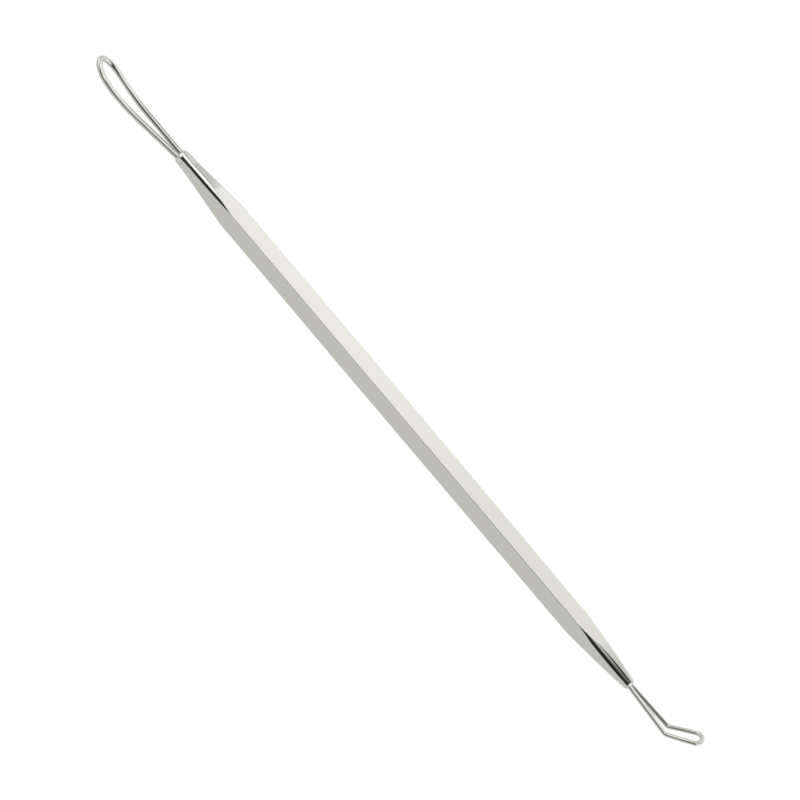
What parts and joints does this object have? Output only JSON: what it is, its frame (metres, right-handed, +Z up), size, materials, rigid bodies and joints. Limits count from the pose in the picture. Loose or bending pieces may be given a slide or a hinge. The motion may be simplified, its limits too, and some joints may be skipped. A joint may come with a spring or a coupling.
{
  "type": "comedone extractor",
  "caption": "Double-ended comedone extractor: square steel bar handle with tapered noses, a long curved wire loop at one end and a short angled wire loop at the other.",
  "frame": {"origin": "middle of the flat that the square handle rests on, in its parallel middle part", "axes": "+X along the handle from the long loop towards the angled loop, +Z up through the handle, away from the flat it rests on"},
  "size_m": [0.1278, 0.0044, 0.005],
  "materials": {
    "handle_steel": "fine satin, lightly buffed",
    "wire_steel": "polished",
    "braze": "plated, slightly dull"
  },
  "bodies": {
    "root": {"handle": "handle_steel", "long_loop": "wire_steel", "angled_loop": "wire_steel", "long_loop_braze": "braze", "angled_loop_braze": "braze"}
  },
  "joints": []
}
